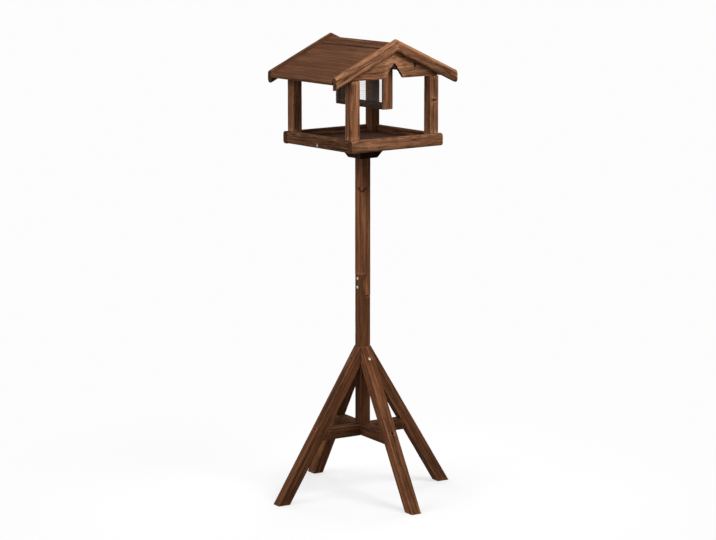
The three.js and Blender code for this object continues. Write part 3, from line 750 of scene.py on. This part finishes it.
# %% Mix the metal finishes
BROADER = 7               # how much larger the broad spots are than the fine ones

def dull_metal(name, pale, dark, metallic, rough, grain, gloss=0.5):
    finish = Finish(name)
    place = finish.node("ShaderNodeTexCoord", {}, {}, "Object")
    fine = finish.noise(finish.stretch(place, [grain] * 3), 3.0)
    broad = finish.noise(finish.stretch(place, [grain / BROADER] * 3), 2.0)
    colour = finish.blend(finish.ramp(fine * 0.6 + broad * 0.4, 0.35, 0.65), dark, pale)
    relief = finish.node("ShaderNodeBump", {}, {
        "Strength": 0.2, "Distance": 0.0002, "Height": fine})
    finish.set(Base_Color=colour, Metallic=metallic, Roughness=rough + (fine - 0.5) * 0.3,
               Normal=relief, Specular_IOR_Level=gloss)
    return finish.material


zinc_finish = dull_metal(
    "zinc_fastener", pale=srgb(214, 206, 192), dark=srgb(150, 142, 128),
    metallic=0.75, rough=0.42, grain=900.0)
wire_finish = dull_metal(
    "galvanised_wire", pale=srgb(164, 156, 146), dark=srgb(98, 92, 86),
    metallic=0.7, rough=0.5, grain=700.0)
nail_finish = dull_metal(
    "stained_nail", pale=srgb(52, 38, 30), dark=srgb(26, 18, 14),
    metallic=0.0, rough=0.7, grain=1200.0, gloss=0.15)
print("metal finishes:", zinc_finish.name, wire_finish.name, nail_finish.name)

# %% [markdown]
# ## Making the timber pieces
#
# Now every piece follows the same path: planed stock, saw cuts, eased edges, hollows, grain marks
# and finish. Rails and bargeboards have large roundings on their outer side, and everything else
# has its own small one. The solid's own body tells each new piece what it moves with.

# %% One path from stock to finished piece
POST_ROUNDING = 0.002
BOARD_ROUNDING = 0.0016
OUTER_ROUNDING = 0.010
POST_EDGES = [POST_ROUNDING] * 4
BOARD_EDGES = [BOARD_ROUNDING] * 4
OUTER_EDGES = [BOARD_ROUNDING] * 2 + [OUTER_ROUNDING] * 2
LID_EASE = 0.001          # planed off each side of the joint round the ridge lid
slots = {part["node"]: part["material_slot"] for part in frame["record"]["subparts"]}
bodies = frame["record"]["behaviour"]["bodies"]
body_of = {node: body for body, nodes in bodies.items() for node in nodes}
FINISHES = {"stand_timber": stand_finish, "head_timber": head_finish}

def place_piece(made, node, material):
    """Gives a piece its finish, its body and the solid that it stands for."""
    made.data.materials.clear()
    made.data.materials.append(material)
    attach(made, body_of[node])
    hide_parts(node)
    smooth(made)


def finish_timber(timber, mesh, cutters=(), shut_face=None):
    """Makes a piece from its sawn mesh."""
    made = as_object(mesh, timber.node + "_timber")
    if cutters:
        carve(made, cutters)
    mark_grain(made, timber, shut_face)
    place_piece(made, timber.node, FINISHES[slots[timber.node]])
    return made


def make_timber(node, radii, cutters=(), shut_face=None):
    timber = Timber(node)
    mesh = stock(timber, radii)
    for distance, normal in timber.saw_cuts():
        saw(mesh, distance, normal)
    if shut_face:
        saw(mesh, timber.reach(shut_face) - LID_EASE, shut_face)
    ease(mesh)
    return finish_timber(timber, mesh, cutters, shut_face)


print("slots:", sorted(set(slots.values())))

# %% [markdown]
# ### Screws, bolts and their holes
#
# A countersunk screw is read from its own solid: its long axis, and the wide end that is its head.
# The hole for the head is cut into the timber, a hair wider than the head, so a thin dark ring
# shows round it, and its walls are darkened with painted shade and pooled stain. The lower leg
# screws are driven in deeper than the upper ones.

# %% Read a fastener's axis and cut its hole
HEAD_RADIUS = 0.0043
HEAD_DEPTH = 0.0028
SHANK_RADIUS = 0.0021
HOLE_RING = 0.0004
UPPER_SINK = 0.0004
LOWER_SINK = 0.0045
ROUND = 32

def fastener_axis(node):
    """The middle of a fastener's head, and the direction that the head faces."""
    points = np.array([vertex.co for vertex in frame["nodes"][node].data.vertices])
    points = np.unique(points.round(POINT_GROUP), axis=0)
    axis, side, other = np.linalg.svd(points - points.mean(0), full_matrices=False)[2]
    reach = points @ axis
    across = points @ np.array([side, other]).T
    middle = (across.min(0) + across.max(0)) / 2
    widest = np.linalg.norm(across - middle, axis=1).argmax()
    if reach[widest] < (reach.min() + reach.max()) / 2:
        axis, reach = -axis, -reach
    return Vector(axis * reach.max() + side * middle[0] + other * middle[1]), Vector(axis)


def fastener_length(node, top, axis):
    return max((top - vertex.co).dot(axis) for vertex in frame["nodes"][node].data.vertices)


def lathe(profile, steps=ROUND):
    """Turns a profile of (radius, height) points, from the bottom to the top, round the Z axis."""
    mesh = bmesh.new()
    rings = []
    for radius, height in profile:
        ring = []
        for step in range(steps if radius else 1):
            angle = 2 * math.pi * step / steps
            x, y = radius * math.cos(angle), radius * math.sin(angle)
            ring.append(mesh.verts.new((x, y, height)))
        rings.append(ring)
    for low, high in zip(rings, rings[1:]):
        for step in range(steps):
            after = (step + 1) % steps
            corners = [ring[turn % len(ring)] for ring, turn in
                       ((low, step), (low, after), (high, after), (high, step))]
            mesh.faces.new(list(dict.fromkeys(corners)))
    bmesh.ops.recalc_face_normals(mesh, faces=mesh.faces)
    return mesh


def stand_on(mesh, point, direction):
    turn = UP.rotation_difference(direction).to_matrix().to_4x4()
    bmesh.ops.transform(mesh, matrix=Matrix.Translation(point) @ turn, verts=mesh.verts)
    return mesh


def countersink(node, sink):
    top, axis = fastener_axis(node)
    wide = HEAD_RADIUS + HOLE_RING
    deep = sink + HEAD_DEPTH
    profile = [(0, -deep - SPARE), (SHANK_RADIUS + HOLE_RING, -deep - SPARE),
               (SHANK_RADIUS + HOLE_RING, -deep), (wide, -sink), (wide, SPARE), (0, SPARE)]
    return stand_on(lathe(profile), top, axis)


def shade_and_stain_holes(made, screws):
    """Darkens the walls of screw holes with painted shade and the stain that has pooled there."""
    for screw in screws:
        top, axis = fastener_axis(screw)
        for face, stain in zip(made.data.polygons, made.data.attributes["end_grain_and_joint_shade"].data):
            off = face.center - top
            in_hole = (off - axis * off.dot(axis)).length < HEAD_RADIUS + HOLE_RING
            if in_hole and abs(face.normal.dot(axis)) < DIFFERENT:
                stain.value = JOINT_SHADE_AND_STAIN


print("front leg screw at", fastener_axis("leg_screw_front"))

# %% [markdown]
# ### Legs, brace and pole
#
# The legs are square stock with a long plumb cut against the pole and a level cut at the foot. The
# brace is two lengths halved into each other, and the pole is two lengths joined by a half lap.
# Each hollow is a box worked out from the piece that fits into it. The lap's shoulders are sawn a
# little out of square, as a handsaw leaves them, so a short dark gap shows at one side.

# %% Make the stand
SIDES = ("front", "right", "back", "left")
for side in SIDES:
    screws = {f"leg_screw_{side}": UPPER_SINK, f"brace_screw_{side}": LOWER_SINK}
    holes = [countersink(screw, sink) for screw, sink in screws.items()]
    shade_and_stain_holes(make_timber(f"leg_{side}", POST_EDGES, holes), screws)


def halving(node, other, up):
    """The notch in one length of the brace for the other: up is 1 above, -1 below."""
    across = Timber(other)
    own = Timber(node)
    half = max(across.half[1:]) + JOINT_GAP
    middle = Vector((own.centre.x, own.centre.y, own.centre.z + up * half))
    return box_cutter(middle, [across.grain, own.grain, UP], [3 * half, half, half])


for node, other, up in (("brace_front_back", "brace_left_right", 1),
                        ("brace_left_right", "brace_front_back", -1)):
    make_timber(node, POST_EDGES, [halving(node, other, up)])

LAP_GAP = 0.0032          # how far the lap's shoulders gape inside the pole

def lap_cutter(up):
    """The half of the pole that the other length's tongue takes: up is 1 for the upper length."""
    low = max(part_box("pole_upper")[0].z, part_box("pole_lower")[0].z)
    high = min(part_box("pole_upper")[1].z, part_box("pole_lower")[1].z)
    pole = Timber("pole_lower")
    across = max((pole.edge, pole.face), key=lambda axis: abs(axis.x))
    across = across * (-up if across.x > 0 else up)
    half = max(pole.half[1:])
    reach = (high - low) / 2 + SPARE
    shoulder = low - JOINT_GAP if up < 0 else high + JOINT_GAP
    middle = across * (half + SPARE - JOINT_GAP / 2) + UP * (shoulder - up * reach)
    sizes = [half + SPARE, half + SPARE, reach]
    cutter = box_cutter(middle, [across, across.cross(UP), UP], sizes)
    for vertex in cutter.verts:
        if abs(vertex.co.z - shoulder) < reach:
            vertex.co.z += up * LAP_GAP * (1 - vertex.co.dot(across) / half)
    return cutter


for node, up in (("pole_lower", -1), ("pole_upper", 1)):
    make_timber(node, POST_EDGES, [lap_cutter(up)])
print("stand made")

# %% [markdown]
# ### Tray
#
# The rails are planed to a soft D on their outer side, and the front and back ones cover the ends
# of the side ones. The posts stand with their outer corner on the rails' top edges and their inner
# corner on the floor, so two hollows are taken out of each foot, and one behind the gable panel.

# %% Make the tray
OUTSIDE = 0.05            # how far a hollow goes past the piece that it makes room for
FLOOR_BOARDS = 5
ENDS = {"front": -1, "back": 1}
FLANKS = {"left": -1, "right": 1}

for side in SIDES:
    screws = [f"rail_screw_{side}"] if side in FLANKS else []
    holes = [countersink(screw, UPPER_SINK) for screw in screws]
    shade_and_stain_holes(make_timber(f"rail_{side}", OUTER_EDGES, holes), screws)
for index in range(FLOOR_BOARDS):
    make_timber(f"floor_board_{index + 1}", BOARD_EDGES)


def rebate(neighbour, axis, sign):
    """The room that a post gives to a rail or a gable panel, and to all that lies outside it."""
    low, high = (list(corner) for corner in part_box(neighbour))
    for other in range(3):
        low[other] -= JOINT_GAP
        high[other] += JOINT_GAP
    across = 1 - axis
    low[across] -= OUTSIDE
    high[across] += OUTSIDE
    (high if sign > 0 else low)[axis] += sign * OUTSIDE
    return span_cutter(low, high)


for end, end_sign in ENDS.items():
    for side, side_sign in FLANKS.items():
        cutters = [rebate(f"rail_{end}", 1, end_sign), rebate(f"rail_{side}", 0, side_sign),
                   rebate(f"gable_panel_{end}", 1, end_sign)]
        make_timber(f"post_{end}_{side}", POST_EDGES, cutters)
print("tray made")

# %% [markdown]
# ### The block under the tray
#
# A pyramid without its top carries the tray on the pole. Its four sides slope, so it isn't stock
# with straight edges: it is sawn from a square block by the four planes of its sides, and the
# pole's socket is cut through it.

# %% Make the seat block
SLOPE_LEAST = 0.1         # a side that slopes rises more than this
SLOPE_MOST = 0.95         # and less than this
BLUNT = math.radians(25)
BLUNT_STEPS = 3

def make_seat_block():
    timber = Timber("pole_seat_block")
    low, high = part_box(timber.node)
    mesh = span_cutter(low, high)
    for area, distance, normal in timber.outer_flats():
        if SLOPE_LEAST < abs(normal.z) < SLOPE_MOST:
            saw(mesh, distance, normal)
    ease(mesh, BOARD_ROUNDING, BLUNT_STEPS, BLUNT)
    side = Timber("pole_upper").half[1] + JOINT_GAP
    middle = UP * ((low.z + high.z) / 2)
    socket = box_cutter(middle, WORLD_AXES, [side, side, high.z - low.z])
    finish_timber(timber, mesh, [socket])


make_seat_block()
print("seat block made")

# %% [markdown]
# ### Gable panels and roof
#
# A gable panel is one wide board, sawn along the two slopes, with a notch in its lower edge that
# comes to a small round. The notch's outline is straight flanks that touch a circle, and its size
# is read from the solid. The roof boards are plain, and the ridge lid's strips are mitred.

# %% Make the gables and the roof
NOTCH_ARC = 10
NOTCH_REACH = 0.06        # the notch lies within this distance of the panel's middle and lower edge
NOTCH_GROUP = 5           # decimals that make two points of its outline count as one

def notch_cutter(node):
    """A prism through the panel in the shape of its notch."""
    mesh = frame["nodes"][node].data
    low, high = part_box(node)
    inside = {(round(vertex.co.x, NOTCH_GROUP), round(vertex.co.z, NOTCH_GROUP))
              for vertex in mesh.vertices
              if abs(vertex.co.x) < NOTCH_REACH and vertex.co.z < low.z + NOTCH_REACH}
    above = [(x, z) for x, z in inside if z > low.z + ON_OUTLINE]
    mouth = max(x for x, z in inside if (x, z) not in above)
    top = max(z for x, z in above)
    shoulder = max(x for x, z in above)
    shoulder_z = min(z for x, z in above)
    slope = math.atan2(mouth - shoulder, shoulder_z - low.z)
    radius = shoulder / math.cos(slope)
    centre_z = top - radius
    outline = [(-mouth, low.z - SPARE), (mouth, low.z - SPARE), (mouth, low.z)]
    for step in range(NOTCH_ARC + 1):
        angle = slope + (math.pi - 2 * slope) * step / NOTCH_ARC
        outline.append((radius * math.cos(angle), centre_z + radius * math.sin(angle)))
    outline.append((-mouth, low.z))
    cutter = bmesh.new()
    join_rings(cutter, [[cutter.verts.new((x, y, z)) for x, z in outline]
                        for y in (low.y - SPARE, high.y + SPARE)])
    return cutter


for end in ENDS:
    make_timber(f"gable_panel_{end}", BOARD_EDGES, [notch_cutter(f"gable_panel_{end}")])
    for side in FLANKS:
        make_timber(f"bargeboard_{end}_{side}", OUTER_EDGES)
for side in FLANKS:
    lid = Timber(f"ridge_lid_strip_{side}")
    down = lid.edge if lid.edge.z < 0 else -lid.edge
    make_timber(lid.node, BOARD_EDGES, shut_face=down)
    make_timber(f"roof_board_{side}_upper", BOARD_EDGES, shut_face=-down)
    for node in (f"roof_board_{side}_middle", f"roof_board_{side}_eave", f"purlin_{side}"):
        make_timber(node, BOARD_EDGES)
for node in ("feeder_end_front", "feeder_end_back", "feeder_base_rail"):
    make_timber(node, BOARD_EDGES)
print("roof and feeder boards made")

# %% [markdown]
# ## Screws, bolts and nuts
#
# Screw heads are countersunk with a cross recess, and the two bolts through the pole have low domed
# heads, with hexagonal nuts on the far side. Screws and bolts are round, so a profile turned round
# an axis makes them, and the recess is carved out. A nut is its solid with eased edges. Only the
# screws that were driven after staining are bright.

# %% Make the fasteners
CROSS_SIZES = [0.0024, 0.0005, 0.0012]     # half the length, width and depth of the recess
HEAD_RIM = 0.0003
RIM_EASE = 0.0001
POINT_LENGTH = 3          # in radii of the shank
BRIGHT_SCREWS = ("leg_screw_front", "rail_screw_left", "rail_screw_right")

def make_screw(node, sink):
    top, axis = fastener_axis(node)
    length = fastener_length(node, top, axis)
    profile = [(0, -length), (SHANK_RADIUS, SHANK_RADIUS * POINT_LENGTH - length),
               (SHANK_RADIUS, -HEAD_DEPTH - sink), (HEAD_RADIUS, -sink - HEAD_RIM),
               (HEAD_RADIUS, -sink - RIM_EASE), (HEAD_RADIUS - 2 * RIM_EASE, -sink), (0, -sink)]
    made = as_object(stand_on(lathe(profile), top, axis), node + "_screw")
    side = axis.orthogonal().normalized()
    other = axis.cross(side)
    carve(made, [box_cutter(top - axis * sink, axes, CROSS_SIZES)
                 for axes in ([side, other, axis], [other, side, axis])])
    place_piece(made, node, zinc_finish if node in BRIGHT_SCREWS else nail_finish)


for side in SIDES:
    make_screw(f"leg_screw_{side}", UPPER_SINK)
    make_screw(f"brace_screw_{side}", LOWER_SINK)
for side in FLANKS:
    make_screw(f"rail_screw_{side}", UPPER_SINK)
    make_screw(f"seat_screw_{side}", UPPER_SINK)

BOLT_RADIUS = 0.003
THREAD = 0.001
THREADED = 0.012          # length of the threaded end
DOME_RADIUS = 0.0054
DOME_HEIGHT = 0.0026
DOME_RIM = 0.0004
DOME_UNDERCUT = 0.0003
DOME_STEPS = 9
DOME_FULLNESS = 0.8       # below 1 the dome is fuller than a ball

def make_bolt(node):
    top, axis = fastener_axis(node)
    length = fastener_length(node, top, axis)
    root = BOLT_RADIUS - THREAD / 2
    profile = [(0, -length), (root, -length)]
    for turn in range(round(THREADED / THREAD)):
        height = -length + THREAD * (turn + 0.5)
        profile += [(BOLT_RADIUS, height), (root, height + THREAD / 2)]
    profile += [(BOLT_RADIUS, -DOME_HEIGHT), (DOME_RADIUS - DOME_UNDERCUT, -DOME_HEIGHT)]
    for step in range(DOME_STEPS):
        angle = math.pi / 2 * step / DOME_STEPS
        rise = DOME_RIM + (DOME_HEIGHT - DOME_RIM) * math.sin(angle)
        profile.append((DOME_RADIUS * math.cos(angle) ** DOME_FULLNESS, rise - DOME_HEIGHT))
    profile.append((0, 0))
    made = as_object(stand_on(lathe(profile), top, axis), node + "_bolt")
    place_piece(made, node, zinc_finish)


NUT_EASE = 0.0004
NUT_WELD = 1e-5           # points of the solid closer than this are one
NUT_FLAT = math.radians(1)

def make_nut(node):
    """A nut from its solid, with its long edges eased."""
    mesh = bmesh.new()
    mesh.from_mesh(frame["nodes"][node].data)
    bmesh.ops.remove_doubles(mesh, verts=mesh.verts, dist=NUT_WELD)
    bmesh.ops.dissolve_limit(mesh, angle_limit=NUT_FLAT, verts=mesh.verts, edges=mesh.edges)
    ease(mesh, NUT_EASE, shortest=HEAD_RADIUS)
    place_piece(as_object(mesh, node + "_nut"), node, zinc_finish)


for place in ("upper", "lower"):
    make_bolt(f"pole_bolt_{place}")
    make_nut(f"pole_nut_{place}")
print("fasteners made")

# %% [markdown]
# ## The feeder's wire mesh
#
# Peanut feeders use galvanised welded mesh with openings of about six millimetres. The wires could
# be one flat grid, but light runs along round wires quite differently. So every wire is its own
# round rod, the upright ones outside the level ones, a little swollen with zinc at each crossing,
# and a few of them are not quite straight.

# %% Weave the mesh
WIRE = 0.00017            # radius of a wire
OPENING = 0.00635
SWELL = 1.35
WIRE_SIDES = 6
WIRE_BEND = 0.0004
LAYER_OFFSET = 0.7 * WIRE    # of the upright wires outwards, and of the level ones inwards
OVERHANG = 1.5 * WIRE

def wire(mesh, start, end, crossings, out, dice):
    """A round wire between two points with a swelling at each crossing."""
    along = (end - start).normalized()
    side = along.cross(out)
    bend = dice.uniform(-WIRE_BEND, WIRE_BEND)
    length = (end - start).length
    places = [0.0]
    for crossing in crossings:
        places += [crossing - 2 * WIRE, crossing, crossing + 2 * WIRE]
    places = sorted({round(min(max(p, 0.0), length), POINT_GROUP) for p in places + [length]})
    rings = []
    for place in places:
        swollen = any(abs(place - crossing) < WIRE / 2 for crossing in crossings)
        radius = WIRE * (SWELL if swollen else 1)
        centre = start + along * place + side * bend * math.sin(math.pi * place / length)
        ring = []
        for corner in range(WIRE_SIDES):
            angle = 2 * math.pi * corner / WIRE_SIDES
            spoke = (out * math.cos(angle) + side * math.sin(angle)) * radius
            ring.append(mesh.verts.new(centre + spoke))
        rings.append(ring)
    join_rings(mesh, rings)


def make_net(node, sign):
    dice = random.Random(node)
    low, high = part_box(node)
    out = Vector((sign, 0, 0))
    middle = (low.x + high.x) / 2
    columns = int((high.y - low.y - 2 * WIRE) / OPENING)
    rows = int((high.z - low.z - 2 * WIRE) / OPENING)
    first_y = (low.y + high.y - columns * OPENING) / 2
    first_z = low.z + WIRE * SWELL
    ys = [first_y + OPENING * column for column in range(columns + 1)]
    zs = [first_z + OPENING * row for row in range(rows + 1)]
    mesh = bmesh.new()
    for y in ys:
        start = Vector((middle + sign * LAYER_OFFSET, y, zs[0] - OVERHANG))
        end = Vector((start.x, y, zs[-1] + OVERHANG))
        wire(mesh, start, end, [z - start.z for z in zs], out, dice)
    for z in zs:
        start = Vector((middle - sign * LAYER_OFFSET, ys[0] - OVERHANG, z))
        end = Vector((start.x, ys[-1] + OVERHANG, z))
        wire(mesh, start, end, [y - start.y for y in ys], out, dice)
    place_piece(as_object(mesh, node + "_mesh"), node, wire_finish)
    print(node, len(ys), "upright and", len(zs), "level wires")


for side, sign in FLANKS.items():
    make_net(f"feeder_net_{side}", sign)

# %% [markdown]
# ## Nails
#
# The boards are nailed to the gable panels, and the panels and bargeboards to the posts and board
# ends. Each nail is a small flat head set just into the wood, dark with stain. They are too small
# to be solids of their own, so one mesh holds all the nails of each group.

# %% Drive the nails
NAIL_RADIUS = 0.0016
NAIL_SINK = 0.0008
NAIL_PROUD = 0.00012
NAIL_HEAD = [(0, -NAIL_SINK), (NAIL_RADIUS, -NAIL_SINK), (NAIL_RADIUS, 0),
             (NAIL_RADIUS * 0.7, NAIL_PROUD), (0, NAIL_PROUD * 1.2)]
NAIL_SIDES = 12
ROWS = ("upper", "middle", "eave")
# Where nails go on a board, in shares of half its size, and on a panel, in metres above its foot
ROOF_SHARES = (-0.5, 0.5)
BARGE_SHARES = (-0.75, -0.2, 0.35, 0.8)
RAIL_SHARES = (-0.3, 0.3)
PANEL_HEIGHTS = (0.012, 0.030)
# How far the hammer misses, as a share on roof boards and bargeboards, or else in metres
ROOF_SLIP = 0.06
BARGE_SLIP = 0.02
PANEL_SLIP = 0.003
END_SLIP = 0.001

def make_nails(name, places):
    """One mesh with a nail's head at each place: a point, and the way that the head faces."""
    mesh = bmesh.new()
    for place, direction in places:
        head = stand_on(lathe(NAIL_HEAD, NAIL_SIDES), place, direction)
        data = bpy.data.meshes.new("nail")
        head.to_mesh(data)
        head.free()
        mesh.from_mesh(data)
        bpy.data.meshes.remove(data)
    made = as_object(mesh, name)
    made.data.materials.append(nail_finish)
    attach(made, "table")
    smooth(made)
    print(name, len(made.data.vertices), "points")


def surface(board):
    """How far a board's outer side lies from its middle."""
    return board.half[2] - FLAT_WEAR


def about(place, slip, dice):
    """A place that a hand with a hammer has missed by no more than the slip."""
    return place + dice.uniform(-slip, slip)


def over_middle(board, node, slip, z, dice):
    """A nail in an upright board, at a height, over the middle of the piece behind it."""
    low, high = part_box(node)
    x = about((low.x + high.x) / 2, slip, dice)
    y = board.centre.y + board.face.y * surface(board)
    return Vector((x, y, z)), board.face


def roof_nails(dice):
    for side in FLANKS:
        for row in ROWS:
            board = Timber(f"roof_board_{side}_{row}")
            for end in ENDS:
                low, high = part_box(f"gable_panel_{end}")
                for share in ROOF_SHARES:
                    across = board.edge * board.half[1] * about(share, ROOF_SLIP, dice)
                    place = board.centre + across + board.face * surface(board)
                    place.y = about((low.y + high.y) / 2, END_SLIP, dice)
                    yield place, board.face


def gable_nails(dice):
    for end in ENDS:
        panel = Timber(f"gable_panel_{end}")
        for side in FLANKS:
            board = Timber(f"bargeboard_{end}_{side}")
            for share in BARGE_SHARES:
                along = board.grain * board.half[0] * about(share, BARGE_SLIP, dice)
                yield board.centre + along + board.face * surface(board), board.face
            for height in PANEL_HEIGHTS:
                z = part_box(panel.node)[0].z + height
                yield over_middle(panel, f"post_{end}_{side}", PANEL_SLIP, z, dice)


def rail_nails(dice):
    for end in ENDS:
        rail = Timber(f"rail_{end}")
        for side in FLANKS:
            for share in RAIL_SHARES:
                z = rail.centre.z + rail.half[1] * share
                yield over_middle(rail, f"rail_{side}", END_SLIP, z, dice)


make_nails("roof_board_nails", roof_nails(random.Random("roof nails")))
make_nails("gable_nails", gable_nails(random.Random("gable nails")))
make_nails("rail_nails", rail_nails(random.Random("rail nails")))
